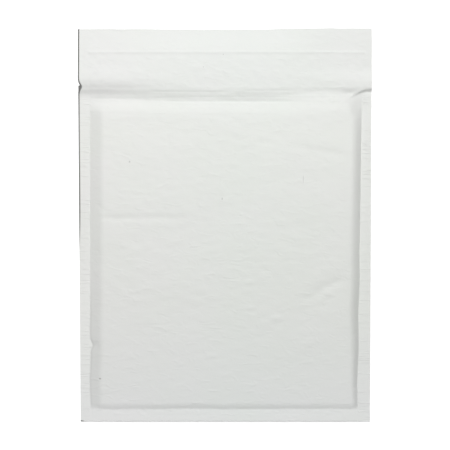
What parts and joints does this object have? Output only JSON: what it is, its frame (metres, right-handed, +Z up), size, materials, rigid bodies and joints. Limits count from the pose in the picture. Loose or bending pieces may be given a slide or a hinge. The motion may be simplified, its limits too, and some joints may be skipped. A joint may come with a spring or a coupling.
{
  "type": "padded envelope",
  "caption": "White paper mailing envelope lined with bubble film, sealed flat along both sides and the bottom, its flap open with the release strip still on.",
  "frame": {"origin": "bottom centre of the bounding box, on the surface that the back panel lies on", "axes": "+X across the envelope, +Y along its length towards the flap's end, +Z up out of the front panel"},
  "size_m": [0.24, 0.321, 0.0118],
  "materials": {
    "white_kraft": "matt bleached kraft with fine handling wrinkles",
    "bubble_film": "clear polyethylene bubble film",
    "glue": "clear pressure-sensitive adhesive",
    "liner_paper": "smooth siliconed paper"
  },
  "bodies": {
    "root": {"paper_cover": "white_kraft", "bubble_lining": "bubble_film", "adhesive_strip": "glue", "release_liner": "liner_paper"}
  },
  "joints": []
}
